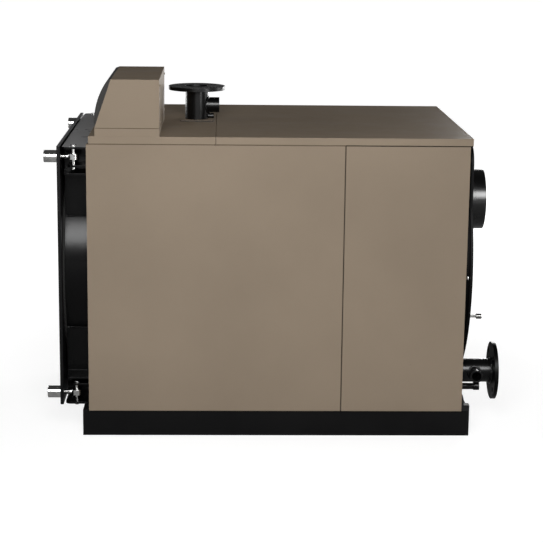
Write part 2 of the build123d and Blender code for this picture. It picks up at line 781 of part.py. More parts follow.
def return_connection():
    """Low return pipe with its flange and socket, and the capped drain under it."""
    mouth_y = return_y - return_socket_reach
    pipe, parts["return_branch"] = return_run()
    pipe -= rod_y(return_y, mouth_y, return_socket_x, return_height, return_socket_bore)
    parts["return_pipe"] = pipe

    outer = rod_x(return_branch_x, return_face_x, return_y, return_height, pipe_radius)
    socket = rod_y(return_y, mouth_y, return_socket_x, return_height, return_socket_radius)
    socket -= rod_y(return_y, mouth_y - cut_margin, return_socket_x, return_height,
                    return_socket_bore)
    parts["return_socket"] = socket - outer

    place = Pos(return_face_x - flange_thickness, return_y, return_height) * Rot(0, 90, 0)
    parts["return_flange"] = place * flange_disc()

    cap_x = drain_end_x - drain_cap_length
    drain_points = [(drain_riser_x, return_y, return_height),
                    (drain_riser_x, return_y, drain_height), (cap_x, return_y, drain_height)]
    drain = bent_bar(drain_radius, drain_bend_radius, drain_points)
    drain -= bent_bar(drain_radius - drain_wall, drain_bend_radius, drain_points)
    drain += rod_x(cap_x, drain_end_x, return_y, drain_height, drain_cap_radius)
    parts["drain_pipe"] = drain - outer


def smokebox_outline(inset):
    """Rear view of the smokebox: round below, with two square shoulders above."""
    radius = cover_radius - inset
    shoulders = RectangleRounded(cover_shoulder_width - 2 * inset, radius,
                                 cover_shoulder_radius - inset)
    return Pos(0, axis_height) * Circle(radius) + Pos(0, axis_height + radius / 2) * shoulders


def smokebox():
    """Smokebox walls, the cover bolted over them and the flue spigot."""
    inner_radius = cover_radius - cover_lip - smokebox_wall
    front_wall_x = shell_rear_x + smokebox_wall
    body = across(smokebox_outline(cover_lip), shell_rear_x, cover_front_x)
    body -= across(smokebox_outline(cover_lip + smokebox_wall), front_wall_x,
                   cover_front_x + cut_margin)
    body -= shell_body(inner_radius, shell_rear_x - cut_margin, front_wall_x + cut_margin)
    parts["smokebox_drum"] = body

    through = (cover_front_x - cut_margin, cover_face_x + cut_margin)
    cover = across(smokebox_outline(0), cover_front_x, cover_face_x)
    cover -= rod_x(*through, 0, flue_height, flue_radius - flue_wall)
    hatch_hole = Pos(0, hatch_centre_z) * RectangleRounded(
        hatch_width - hatch_corner, hatch_height - hatch_corner, hatch_corner / 2)
    parts["smokebox_cover"] = cover - across(hatch_hole, *through)

    flue_end_x = cover_face_x + flue_reach
    spigot = rod_x(cover_face_x, flue_end_x, 0, flue_height, flue_radius)
    spigot -= rod_x(cover_face_x - cut_margin, flue_end_x + cut_margin, 0, flue_height,
                    flue_radius - flue_wall)
    parts["flue_spigot"] = spigot


def soot_hatch():
    """Hatch plate on the rear cover with its long stud and wing nut."""
    face_x = cover_face_x + hatch_thickness
    plate = Pos(0, hatch_centre_z) * RectangleRounded(hatch_width, hatch_height, hatch_corner)
    parts["soot_hatch"] = across(plate, cover_face_x, face_x)
    stud_end_x = cover_face_x + hatch_stud_reach
    nut_x = stud_end_x - wing_nut_length
    bolt = rod_x(face_x, stud_end_x, 0, hatch_centre_z, hatch_stud_radius)
    bolt += rod_x(nut_x, stud_end_x, 0, hatch_centre_z, wing_nut_radius)
    bolt += block(nut_x, stud_end_x, -wing_span / 2, wing_span / 2,
                  hatch_centre_z - wing_thickness / 2, hatch_centre_z + wing_thickness / 2)
    parts["hatch_bolt"] = bolt


def rear_brackets():
    """Corner brackets with a curved upright that tie the casing to the base."""
    mid_z = base_height + rear_upright_height / 2
    top_z = base_height + rear_upright_height
    outer_x = casing_rear_x + rear_upright_thickness
    curve = ThreePointArc(
        (casing_rear_x, top_z),
        (casing_rear_x + rear_upright_bow, (mid_z + top_z) / 2),
        (outer_x, mid_z),
    )
    sides = Polyline((outer_x, mid_z), (outer_x, base_height), (casing_rear_x, base_height),
                     (casing_rear_x, top_z))
    upright = make_face([curve, *sides.edges()])
    brackets = []
    for side in (-1, 1):
        outer = side * base_side_y
        inner = outer - side * rear_bracket_width
        foot = block(casing_rear_x, base_rear_x, inner, outer, base_height,
                     base_height + rear_bracket_height)
        foot += along_y(upright, min(inner, outer), max(inner, outer))
        brackets.append(foot)
    parts["rear_brackets"] = Compound(children=brackets)


base_frame()
saddles()
pressure_body()
furnace()
front_frame()
hinge_lugs()
hinge_pins()
eyebolts()
sleeve_nuts()
front_door()
casing()
control_panel()
supply_connection()
return_connection()
smokebox()
soot_hatch()
rear_brackets()

os.makedirs("parts", exist_ok=True)
for name, part in parts.items():
    export_step(part, f"parts/{name}.step")
print(len(parts), "parts written")
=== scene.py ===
"""Looks of the industrial boiler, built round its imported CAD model. All lengths are metres."""
import json
import math

import bmesh
import bpy
from mathutils import Matrix, Vector, noise


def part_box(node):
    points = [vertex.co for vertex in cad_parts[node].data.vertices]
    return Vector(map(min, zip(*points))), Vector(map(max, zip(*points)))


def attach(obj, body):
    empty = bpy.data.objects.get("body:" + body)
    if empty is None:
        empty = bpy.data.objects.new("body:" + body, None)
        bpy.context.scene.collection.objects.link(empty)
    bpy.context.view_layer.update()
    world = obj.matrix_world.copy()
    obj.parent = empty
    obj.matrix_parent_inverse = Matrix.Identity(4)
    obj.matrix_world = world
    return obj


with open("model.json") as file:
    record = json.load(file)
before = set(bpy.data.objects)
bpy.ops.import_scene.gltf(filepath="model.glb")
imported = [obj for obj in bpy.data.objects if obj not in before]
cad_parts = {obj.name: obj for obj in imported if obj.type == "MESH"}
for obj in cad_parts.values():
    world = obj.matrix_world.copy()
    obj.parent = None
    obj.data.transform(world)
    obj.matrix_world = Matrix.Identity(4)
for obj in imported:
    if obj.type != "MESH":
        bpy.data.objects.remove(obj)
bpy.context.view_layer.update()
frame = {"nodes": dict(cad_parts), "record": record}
nodes = frame["nodes"]
record = frame["record"]
mounts = {mount["name"]: mount for mount in record["mounts"]}

X_AXIS = Vector((1, 0, 0))
Y_AXIS = Vector((0, 1, 0))
Z_AXIS = Vector((0, 0, 1))


# ---------------------------------------------------------------- materials
BEVEL_SAMPLES = 6
FAR_AWAY = 10.0  # past every part of the boiler


def tree_of(material):
    """The material's node tree and its shader."""
    tree = material.node_tree
    return tree, tree.nodes["Principled BSDF"]


def add(tree, kind, **inputs):
    """Adds a node and sets its inputs, with spaces in their names written as underscores."""
    node = tree.nodes.new(kind)
    for name, value in inputs.items():
        node.inputs[name.replace("_", " ")].default_value = value
    return node


def arithmetic(tree, operation, first, second):
    """Product or larger of two values, each a number or an output."""
    node = tree.nodes.new("ShaderNodeMath")
    node.operation = operation
    for socket, value in zip(node.inputs, (first, second)):
        if isinstance(value, (int, float)):
            socket.default_value = value
        else:
            tree.links.new(value, socket)
    return node.outputs["Value"]


def object_point(tree):
    """The object's own coordinates."""
    return tree.nodes.new("ShaderNodeTexCoord").outputs["Object"]


def object_noise(tree, scale, detail=3.0, roughness=0.5, stretch=(1, 1, 1)):
    """Noise that is fixed to the object, with its own stretch along each axis."""
    mapping = add(tree, "ShaderNodeMapping", Scale=stretch)
    texture = add(tree, "ShaderNodeTexNoise", Scale=scale, Detail=detail, Roughness=roughness)
    tree.links.new(object_point(tree), mapping.inputs["Vector"])
    tree.links.new(mapping.outputs["Vector"], texture.inputs["Vector"])
    return texture.outputs["Fac"]


def remap(tree, value, low, high, new_low, new_high):
    """Maps low..high to new_low..new_high, and holds the ends."""
    node = add(tree, "ShaderNodeMapRange", From_Min=low, From_Max=high, To_Min=new_low,
               To_Max=new_high)
    tree.links.new(value, node.inputs["Value"])
    return node.outputs["Result"]


def blend_colour(tree, factor, first, second):
    """Mix of two colours or colour outputs."""
    node = tree.nodes.new("ShaderNodeMix")
    node.data_type = "RGBA"
    tree.links.new(factor, node.inputs["Factor"])
    for socket, value in ((node.inputs[6], first), (node.inputs[7], second)):
        if isinstance(value, tuple):
            socket.default_value = (*value, 1.0)
        else:
            tree.links.new(value, socket)
    return node.outputs[2]


def shade(colour, share):
    """A colour made darker or lighter by a share."""
    return tuple(channel * share for channel in colour)


def rounded_normal(tree, radius):
    """Normal of a mesh whose edges look rounded by a radius."""
    bevel = add(tree, "ShaderNodeBevel", Radius=radius)
    bevel.samples = BEVEL_SAMPLES
    return bevel.outputs["Normal"]


def edge_mask(tree, radius):
    """White along the edges of a mesh, black on its flat faces."""
    geometry = tree.nodes.new("ShaderNodeNewGeometry")
    product = tree.nodes.new("ShaderNodeVectorMath")
    product.operation = "DOT_PRODUCT"
    tree.links.new(rounded_normal(tree, radius), product.inputs[0])
    tree.links.new(geometry.outputs["Normal"], product.inputs[1])
    return remap(tree, product.outputs["Value"], 0.98, 0.80, 0.0, 1.0)


def bump(tree, shader, height, strength, distance, edge_radius=None):
    """Adds a bump from height, over an edge softened by edge_radius."""
    node = add(tree, "ShaderNodeBump", Strength=strength, Distance=distance)
    tree.links.new(height, node.inputs["Height"])
    if edge_radius:
        tree.links.new(rounded_normal(tree, edge_radius), node.inputs["Normal"])
    tree.links.new(node.outputs["Normal"], shader.inputs["Normal"])


def principled(name, **settings):
    """New material with the shader's own sockets set."""
    material = bpy.data.materials.new(name)
    material.use_nodes = True
    shader = material.node_tree.nodes["Principled BSDF"]
    for socket, value in settings.items():
        shader.inputs[socket.replace("_", " ")].default_value = value
    return material


def axis_mask(tree, axis, low, high, soft=0.0002):
    """White where the object's own X, Y or Z lies between low and high."""
    parts = tree.nodes.new("ShaderNodeSeparateXYZ")
    tree.links.new(object_point(tree), parts.inputs["Vector"])
    value = parts.outputs[axis]
    return arithmetic(tree, "MULTIPLY", remap(tree, value, low - soft, low + soft, 0, 1),
                      remap(tree, value, high - soft, high + soft, 1, 0))


def paint(name, colour, edge_colour, roughness, grain, edge_wear_and_highlight, dust_and_sheen=None, seam_shade_x=None,
          **settings):
    """Sprayed paint: cloudy tone, orange peel, and lighter edges, part wear, part painted
    highlight.

    Faces that look up get partly dust, partly painted sheen; a joint's X range gets painted
    shade.
    """
    material = principled(name, **settings)
    tree, shader = tree_of(material)
    cloud = object_noise(tree, 2.3, detail=4.0)
    base = blend_colour(tree, remap(tree, cloud, 0.35, 0.65, 0, 1), shade(colour, 0.95),
                        shade(colour, 1.05))
    speck = object_noise(tree, 160.0, detail=5.0, roughness=0.7)
    base = blend_colour(tree, remap(tree, speck, 0.60, 0.74, 0, 0.5), base, shade(colour, 0.86))
    rub = object_noise(tree, 38.0, detail=5.0)
    # lighter edges: part wear, part painted highlight along every edge
    worn_and_highlit = arithmetic(tree, "MULTIPLY", edge_mask(tree, 0.0013),
                      remap(tree, rub, 0.40, 0.62, 0.25 * edge_wear_and_highlight, edge_wear_and_highlight))
    base = blend_colour(tree, worn_and_highlit, base, edge_colour)
    # darker band along a joint: painted shade of the gap between panels
    if seam_shade_x:
        base = blend_colour(tree, axis_mask(tree, "X", *seam_shade_x), base, shade(colour, 0.35))
    # faces that look up are lightened: partly dust, partly painted sheen of light mirrored at a
    # low angle
    if dust_and_sheen:
        geometry = tree.nodes.new("ShaderNodeNewGeometry")
        normal = tree.nodes.new("ShaderNodeSeparateXYZ")
        tree.links.new(geometry.outputs["True Normal"], normal.inputs["Vector"])
        dust_and_sheen_mask = remap(tree, normal.outputs["Z"], 0.6, 0.95, 0.0, 1.0)
        base = blend_colour(tree, dust_and_sheen_mask, base, dust_and_sheen)
    tree.links.new(base, shader.inputs["Base Color"])
    sheen = object_noise(tree, 9.0, detail=3.0)
    tree.links.new(remap(tree, sheen, 0.3, 0.7, roughness - 0.05, roughness + 0.06),
                   shader.inputs["Roughness"])
    peel = object_noise(tree, grain, detail=2.0)
    bump(tree, shader, peel, 0.35, 0.00035, edge_radius=0.0012)
    return material


def ridges(tree, axis, pitch):
    """Even ridges along X, Y or Z, one to a pitch."""
    wave = add(tree, "ShaderNodeTexWave", Scale=math.pi / (10 * pitch), Distortion=0.0)
    wave.bands_direction = axis
    tree.links.new(object_point(tree), wave.inputs["Vector"])
    return wave.outputs["Fac"]


def metal(name, colour, dark, roughness, stretch, threads=None):
    """Bare or plated metal with fine drawn lines. Threads give an X range and a pitch."""
    material = principled(name, Metallic=1.0)
    tree, shader = tree_of(material)
    tone = object_noise(tree, 55.0, detail=4.0)
    base = blend_colour(tree, remap(tree, tone, 0.35, 0.68, 0, 1), colour, dark)
    lines = object_noise(tree, 420.0, detail=2.0, stretch=stretch)
    tree.links.new(base, shader.inputs["Base Color"])
    tree.links.new(remap(tree, lines, 0.3, 0.7, roughness * 0.75, roughness * 1.35),
                   shader.inputs["Roughness"])
    bump(tree, shader, lines, 0.25, 0.0002, edge_radius=0.0006)
    if threads:
        low, high, pitch = threads
        height = arithmetic(tree, "MULTIPLY", axis_mask(tree, "X", low, high),
                            ridges(tree, "X", pitch))
        thread = add(tree, "ShaderNodeBump", Strength=0.9, Distance=0.0009)
        tree.links.new(height, thread.inputs["Height"])
        tree.links.new(shader.inputs["Normal"].links[0].from_socket, thread.inputs["Normal"])
        tree.links.new(thread.outputs["Normal"], shader.inputs["Normal"])
    return material


def refractory_material():
    """Cast lining: chalky, pitted and stained with soot."""
    material = principled("refractory_concrete", Specular_IOR_Level=0.2)
    tree, shader = tree_of(material)
    stain = object_noise(tree, 9.0, detail=6.0)
    base = blend_colour(tree, remap(tree, stain, 0.42, 0.66, 0, 1), (0.50, 0.44, 0.35),
                        (0.30, 0.26, 0.21))
    pits = object_noise(tree, 130.0, detail=4.0, roughness=0.7)
    base = blend_colour(tree, remap(tree, pits, 0.60, 0.70, 0, 0.6), base, (0.16, 0.14, 0.12))
    tree.links.new(base, shader.inputs["Base Color"])
    tree.links.new(remap(tree, pits, 0.3, 0.7, 0.85, 0.97), shader.inputs["Roughness"])
    bump(tree, shader, pits, 0.7, 0.0015, edge_radius=0.002)
    return material


def rope_material():
    """Braided glass-fibre rope, dark with graphite."""
    material = principled("fibre_rope_braid", Specular_IOR_Level=0.2)
    tree, shader = tree_of(material)
    braid = add(tree, "ShaderNodeTexWave", Scale=70.0, Distortion=1.2, Detail=2.0)
    braid.bands_direction = "DIAGONAL"
    tree.links.new(object_point(tree), braid.inputs["Vector"])
    strands = braid.outputs["Fac"]
    base = blend_colour(tree, strands, (0.006, 0.006, 0.006), (0.022, 0.021, 0.020))
    tree.links.new(base, shader.inputs["Base Color"])
    tree.links.new(remap(tree, strands, 0, 1, 0.80, 0.95), shader.inputs["Roughness"])
    bump(tree, shader, strands, 0.8, 0.0012)
    return material


def seal_material(brown_end):
    """Edge seal, in the casing's brown as far as X = brown_end and black beyond it, darkened as
    painted shade.
    """
    material = principled("edge_seal", Specular_IOR_Level=0.05)
    tree, shader = tree_of(material)
    grime = object_noise(tree, 40.0, detail=4.0)
    brown = blend_colour(tree, grime, (0.110, 0.084, 0.057), (0.140, 0.109, 0.077))
    beyond = axis_mask(tree, "X", brown_end, FAR_AWAY)
    base = blend_colour(tree, beyond, brown, (0.010, 0.008, 0.007))
    tree.links.new(base, shader.inputs["Base Color"])
    tree.links.new(remap(tree, grime, 0.3, 0.7, 0.75, 0.92), shader.inputs["Roughness"])
    bump(tree, shader, grime, 0.3, 0.0003, edge_radius=0.0005)
    return material


def moulded_material(name, colour, roughness, grain, specular):
    """Moulded plastic or rubber with a fine grained surface."""
    material = principled(name, Specular_IOR_Level=specular)
    tree, shader = tree_of(material)
    cloud = object_noise(tree, 30.0)
    base = blend_colour(tree, cloud, colour, shade(colour, 1.25))
    tree.links.new(base, shader.inputs["Base Color"])
    texture = object_noise(tree, grain, detail=2.0)
    tree.links.new(remap(tree, texture, 0.3, 0.7, roughness - 0.06, roughness + 0.08),
                   shader.inputs["Roughness"])
    bump(tree, shader, texture, 0.4, 0.0002, edge_radius=0.0008)
    return material


def glass_material():
    """Heat-resistant sight glass with a faint smoky film."""
    material = principled("sight_glass_clear", Transmission_Weight=0.9, IOR=1.47)
    tree, shader = tree_of(material)
    film = object_noise(tree, 60.0, detail=4.0)
    base = blend_colour(tree, film, (0.78, 0.82, 0.80), (0.55, 0.56, 0.52))
    tree.links.new(base, shader.inputs["Base Color"])
    tree.links.new(remap(tree, film, 0.4, 0.7, 0.03, 0.22), shader.inputs["Roughness"])
    return material


CASING = (0.280, 0.224, 0.167)
# edge colour of the casing: part wear, part painted highlight
WORN_AND_HIGHLIT_CASING = (0.34, 0.28, 0.215)
BLACK = (0.0018, 0.0018, 0.0019)
PALER_BLACK = (0.0026, 0.0026, 0.0028)
# edge colour of black paint: part wear, part painted highlight
WORN_AND_HIGHLIT_BLACK = (0.045, 0.045, 0.047)
ZINC = (0.60, 0.60, 0.59)
DULL_ZINC = (0.40, 0.40, 0.395)
DRAWN_LINES = (1, 6, 6)
THREAD_PITCH = 0.002
THREAD_RUNOUT = 0.004
hinge_low, hinge_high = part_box("hinge_pins")
hinge_x = (hinge_low[0] + hinge_high[0]) / 2
eye_low, eye_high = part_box("eyebolts_near")
eye_radius = eye_high[0] - hinge_x
seam_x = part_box("side_panel_near_rear")[0][0]


def casing_coat(name, edge_wear_and_highlight, seam_shade_x=None):
    """Satin taupe paint of the casing."""
    return paint(name, CASING, WORN_AND_HIGHLIT_CASING, 0.42, 700.0, edge_wear_and_highlight, seam_shade_x=seam_shade_x,
                 Specular_IOR_Level=0.012)


def black_coat(name, roughness, specular, colour=BLACK, edge_colour=WORN_AND_HIGHLIT_BLACK, grain=420.0,
               edge_wear_and_highlight=0.30, dust_and_sheen=None):
    """Black paint, of its own gloss on each part."""
    return paint(name, colour, edge_colour, roughness, grain, edge_wear_and_highlight, dust_and_sheen=dust_and_sheen,
                 Specular_IOR_Level=specular)


materials = {
    "casing_paint": casing_coat("casing_taupe_paint", 0.35),
    "black_paint": black_coat("boiler_black_paint", 0.22, 0.13),
    "base_paint": black_coat("base_black_paint", 0.50, 0.06, colour=(0.0045, 0.0045, 0.0047)),
    "pipe_paint": black_coat("pipe_black_paint", 0.25, 0.22, colour=PALER_BLACK,
                             edge_colour=(0.07, 0.07, 0.074), grain=300.0, edge_wear_and_highlight=0.50),
    "bare_steel": metal("mill_steel", (0.30, 0.28, 0.26), (0.14, 0.13, 0.12), 0.42, (1, 9, 9)),
    "zinc": metal("zinc_plate", ZINC, DULL_ZINC, 0.15, DRAWN_LINES),
    "refractory": refractory_material(),
    "fibre_rope": rope_material(),
    "black_rubber": moulded_material("collar_rubber", (0.006, 0.006, 0.006), 0.60, 500.0,
                                     specular=0.25),
    "dark_plastic": moulded_material("panel_plastic", (0.022, 0.021, 0.020), 0.42, 900.0,
                                     specular=0.12),
    "sight_glass": glass_material(),
}
# side panels darkened along their joint as painted shade
side_coat = casing_coat("side_panel_paint", 0.2, seam_shade_x=(seam_x - 0.0028, seam_x + 0.0012))
threaded_zinc = metal("threaded_zinc", ZINC, DULL_ZINC, 0.17, DRAWN_LINES,
                      threads=(eye_low[0], hinge_x - eye_radius - THREAD_RUNOUT, THREAD_PITCH))
special = {
    "flue_spigot": black_coat("flue_black_paint", 0.26, 0.48),
    "smokebox_cover": black_coat("cover_matt_black", 0.55, 0.08, colour=PALER_BLACK, edge_wear_and_highlight=0.25),
    "smokebox_drum": black_coat("drum_matt_black", 0.55, 0.05, edge_wear_and_highlight=0.25),
    "return_flange": black_coat("flange_black_paint", 0.32, 0.07, grain=300.0),
    # light colours for faces that look up: partly dust, partly painted sheen
    "front_frame_top": black_coat("frame_top_paint", 0.30, 0.12, dust_and_sheen=(0.32, 0.32, 0.325)),
    "door_plate": black_coat("door_black_paint", 0.32, 0.16, colour=PALER_BLACK,
                             edge_colour=(0.012, 0.012, 0.012), dust_and_sheen=(0.12, 0.12, 0.125)),
    "rear_brackets": black_coat("bracket_paint", 0.30, 0.20, colour=(0.010, 0.010, 0.0105),
                                edge_colour=(0.10, 0.10, 0.10), edge_wear_and_highlight=0.50,
                                dust_and_sheen=(0.24, 0.24, 0.235)),
    "hatch_bolt": metal("dull_zinc", (0.17, 0.17, 0.165), (0.10, 0.10, 0.097), 0.24,
                        DRAWN_LINES),
    # seal colours are painted shade of the lines under the lid and the panel hood
    "lid_seals": seal_material(seam_x),
    "panel_seal": seal_material(FAR_AWAY),
    "side_panel_near_front": side_coat,
    "side_panel_near_rear": side_coat,
    "side_panel_far_front": side_coat,
    "side_panel_far_rear": side_coat,
    "eyebolts_near": threaded_zinc,
    "eyebolts_far": threaded_zinc,
}
for entry in record["subparts"]:
    mesh = nodes[entry["node"]].data
    mesh.materials.clear()
    mesh.materials.append(special.get(entry["node"], materials[entry["material_slot"]]))


# ---------------------------------------------------------------- mesh helpers
SMOOTH_ANGLE = math.radians(35)


def new_object(name, data):
    """New object in the scene."""
    item = bpy.data.objects.new(name, data)
    bpy.context.scene.collection.objects.link(item)
    return item


def finish_piece(name, shape, slot, body, material=None):
    """Turns a bmesh into a piece that rides on a body, with the slot's material or its own."""
    bmesh.ops.recalc_face_normals(shape, faces=shape.faces)
    for face in shape.faces:
        face.smooth = True
    for edge in shape.edges:
        if len(edge.link_faces) == 2 and edge.calc_face_angle() > SMOOTH_ANGLE:
            edge.smooth = False
    mesh = bpy.data.meshes.new(name)
    shape.to_mesh(mesh)
    shape.free()
    mesh.materials.append(material or materials[slot])
    piece = new_object(name, mesh)
    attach(piece, body)


def frame_on(axis):
    """Rotation that takes +Z to the axis."""
    return Vector(axis).to_track_quat("Z", "Y").to_matrix().to_4x4()


def turned(shape, profile, centre, axis, steps=48, turn=0.0):
    """Adds a solid turned from a profile of (radius, height) points round an axis."""
    place = Matrix.Translation(centre) @ frame_on(axis) @ Matrix.Rotation(turn, 4, "Z")
    rings = []
    for radius, height in profile:
        if radius == 0:
            rings.append([shape.verts.new(place @ Vector((0, 0, height)))])
            continue
        ring = []
        for k in range(steps):
            angle = 2 * math.pi * k / steps
            point = Vector((radius * math.cos(angle), radius * math.sin(angle), height))
            ring.append(shape.verts.new(place @ point))
        rings.append(ring)
    for low, high in zip(rings, rings[1:]):
        for k in range(steps):
            after = (k + 1) % steps
            if len(low) == 1:
                shape.faces.new((low[0], high[after], high[k]))
            elif len(high) == 1:
                shape.faces.new((low[k], low[after], high[0]))
            else:
                shape.faces.new((low[k], low[after], high[after], high[k]))


def hex_bolt(shape, centre, axis, flats, turn=0.0):
    """Adds a hexagon bolt head with its washer. The centre is on the seat."""
    corner = flats / math.sqrt(3)
    washer = flats * 0.62
    thick = flats * 0.12
    head = flats * 0.65
    turned(shape, [(0, 0), (washer, 0), (washer, thick * 0.8), (washer * 0.97, thick),
                   (0, thick)], centre, axis, steps=32)
    turned(shape, [(0, thick), (corner * 0.97, thick), (corner, thick + head * 0.06),
                   (corner, head * 0.86 + thick), (flats * 0.46, head + thick),
                   (flats * 0.30, head + thick * 0.9), (0, head + thick * 0.9)],
           centre, axis, steps=6, turn=turn)


def pan_screw(shape, centre, axis, radius):
    """Adds a round screw head with a dimple in it. The centre is on the seat."""
    turned(shape, [(radius * 1.25, 0), (radius * 1.25, radius * 0.16), (radius, radius * 0.22),
                   (radius * 0.96, radius * 0.55), (radius * 0.70, radius * 0.80),
                   (radius * 0.42, radius * 0.88), (radius * 0.22, radius * 0.55),
                   (0, radius * 0.45)], centre, axis, steps=24)


def bead(shape, points, radius, closed=True, ripple=0.18, sides=8):
    """Adds a weld bead along points: a rounded rib with a ripple from each puddle."""
    count = len(points)
    rings = []
    for k, point in enumerate(points):
        before = points[k - 1] if closed or k else points[0]
        after = points[(k + 1) % count] if closed or k < count - 1 else points[-1]
        along = (after - before).normalized()
        side = along.cross(Z_AXIS if abs(along.z) < 0.9 else X_AXIS).normalized()
        up = along.cross(side)
        wave = 1 + ripple * math.cos(math.pi * k) + 0.12 * noise.noise(point * 90)
        ring = []
        for j in range(sides):
            angle = 2 * math.pi * j / sides
            offset = side * math.cos(angle) + up * math.sin(angle)
            ring.append(shape.verts.new(point + offset * radius * wave))
        rings.append(ring)
    for k in range(count if closed else count - 1):
        low = rings[k]
        high = rings[(k + 1) % count]
        for j in range(sides):
            after = (j + 1) % sides
            shape.faces.new((low[j], low[after], high[after], high[j]))
    if not closed:
        shape.faces.new(rings[0])
        shape.faces.new(rings[-1])


def circle_points(centre, axis, radius, pitch):
    """Points on a circle, an even number of them, about a pitch apart."""
    count = 2 * max(6, round(math.pi * radius / pitch))
    place = Matrix.Translation(centre) @ frame_on(axis)
    points = []
    for k in range(count):
        angle = 2 * math.pi * k / count
        points.append(place @ Vector((radius * math.cos(angle), radius * math.sin(angle), 0)))
    return points


def line_points(start, end, pitch):
    """Points along a straight line, about a pitch apart."""
    run = Vector(end) - Vector(start)
    count = max(2, round(run.length / pitch))
    return [Vector(start) + run * (k / count) for k in range(count + 1)]


# ---------------------------------------------------------------- places from the CAD model
SUPPLY = Vector(mounts["supply_flange_bolts"]["pos_m"])
RETURN = Vector(mounts["return_flange_bolts"]["pos_m"])
SUPPLY_SOCKET = Vector(mounts["supply_side_socket"]["pos_m"])
RETURN_SOCKET = Vector(mounts["return_side_socket"]["pos_m"])
shell_low, shell_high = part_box("boiler_shell")
cover_low, cover_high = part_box("smokebox_cover")
rear_low, rear_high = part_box("rear_panel")
plate_low, plate_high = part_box("burner_plate")
bulk_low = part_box("front_bulkhead")[0]
supply_low, supply_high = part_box("supply_pipe")
socket_low, socket_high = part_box("supply_socket")
low_socket_low, low_socket_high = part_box("return_socket")
hood_low, hood_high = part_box("panel_hood")
flange_low, flange_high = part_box("supply_flange")
spigot_low, spigot_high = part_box("flue_spigot")
drum_low, drum_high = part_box("smokebox_drum")
PIPE_RADIUS = (supply_high[1] - supply_low[1]) / 2
FLANGE_THICKNESS = flange_high[2] - flange_low[2]
SHELL_RADIUS = (shell_high[1] - shell_low[1]) / 2
AXIS_HEIGHT = (shell_high[2] + shell_low[2]) / 2
DRUM_RADIUS = (drum_high[1] - drum_low[1]) / 2
WINDOW_HALF = 0.178  # half the height of the opening beside the shell


# ---------------------------------------------------------------- weld beads
BEAD_PITCH = 0.004
BEAD_LIFT = 0.001  # from the wall to the middle of its bead
BRANCH_LIFT = 0.0008


def saddle_points(pipe_radius, branch_radius, pitch, place):
    """Line where a branch leaves a pipe along its own X, put in its place by a function."""
    count = 2 * max(6, round(math.pi * branch_radius / pitch))
    points = []
    for k in range(count):
        angle = 2 * math.pi * k / count
        side = branch_radius * math.cos(angle)
        points.append(place(math.sqrt(pipe_radius**2 - side**2), side,
                            branch_radius * math.sin(angle)))
    return points


supply_socket_radius = (socket_high[1] - socket_low[1]) / 2
return_socket_radius = (low_socket_high[0] - low_socket_low[0]) / 2
welds = bmesh.new()
for centre, axis in ((SUPPLY, Z_AXIS), (RETURN, X_AXIS)):
    bead(welds, circle_points(centre - axis * (FLANGE_THICKNESS + BEAD_LIFT), axis,
                              PIPE_RADIUS + BEAD_LIFT, BEAD_PITCH), 0.0034)
for socket_radius, place in (
        (supply_socket_radius,
         lambda out, side, along: Vector((SUPPLY.x + out, side, SUPPLY_SOCKET.z + along))),
        (return_socket_radius,
         lambda out, side, along: Vector((RETURN_SOCKET.x + along, RETURN.y - out,
                                          RETURN.z + side)))):
    bead(welds, saddle_points(PIPE_RADIUS + BRANCH_LIFT, socket_radius + BRANCH_LIFT,
                              BEAD_PITCH, place), 0.0028)
finish_piece("pipe_weld_beads", welds, "pipe_paint", "boiler")

welds = bmesh.new()
spigot_radius = (spigot_high[1] - spigot_low[1]) / 2
spigot_centre = Vector((cover_high[0] + BRANCH_LIFT, 0, (spigot_high[2] + spigot_low[2]) / 2))
bead(welds, circle_points(spigot_centre, X_AXIS, spigot_radius + BEAD_LIFT, BEAD_PITCH), 0.0032)
bulk_centre = Vector((bulk_low[0] - BEAD_LIFT, 0, AXIS_HEIGHT))
bead(welds, circle_points(bulk_centre, X_AXIS, SHELL_RADIUS + BEAD_LIFT, 0.005), 0.0034)
window_y = math.sqrt(SHELL_RADIUS**2 - WINDOW_HALF**2)
window_front = shell_low[0] + 0.004
window_rear = bulk_low[0] - 0.003
for side in (-1, 1):
    for level in (-1, 1):
        start = Vector((window_front, side * (window_y + BEAD_LIFT),
                        AXIS_HEIGHT + level * (WINDOW_HALF + BEAD_LIFT)))
        end = Vector((window_rear, start.y, start.z))
        bead(welds, line_points(start, end, 0.0045), 0.0030, closed=False, ripple=0.3)
finish_piece("shell_weld_beads", welds, "black_paint", "boiler")


# ---------------------------------------------------------------- bolts and screws
COVER_SCREW = 0.0042
COVER_SCREW_SETBACK = 0.0052  # in front of the cover, on the drum
PLATE_BOLT_INSET = 0.020
PLATE_BOLT_FLATS = 0.016
REAR_SCREW = 0.0045
REAR_SCREW_INSET = 0.012
REAR_SCREW_SHARES = (0.10, 0.37, 0.64, 0.91)  # up the rear panel
FLANGE_CLEARANCE = 0.10  # lifts the screw that the return flange would hide
HOOD_SCREW = 0.0035
HOOD_SCREW_INSET = 0.030
SPLIT_PIN_RISES = (0.3360, -0.4110)  # over the shell's axis, in the tails of the hinge pins
SPLIT_RING = 0.0022
SPLIT_WIRE = 0.0009
SPLIT_LEG = 0.0012

screws = bmesh.new()
screw_x = cover_low[0] - COVER_SCREW_SETBACK
for degrees in range(181, 362, 36):
    angle = math.radians(degrees)
    outward = Vector((0, math.cos(angle), math.sin(angle)))
    seat = Vector((screw_x, 0, AXIS_HEIGHT)) + outward * DRUM_RADIUS
    pan_screw(screws, seat, outward, COVER_SCREW)
for y in (-0.17, 0.17):
    pan_screw(screws, Vector((screw_x, y, drum_high[2])), Z_AXIS, COVER_SCREW)
finish_piece("cover_screws", screws, "zinc", "boiler")

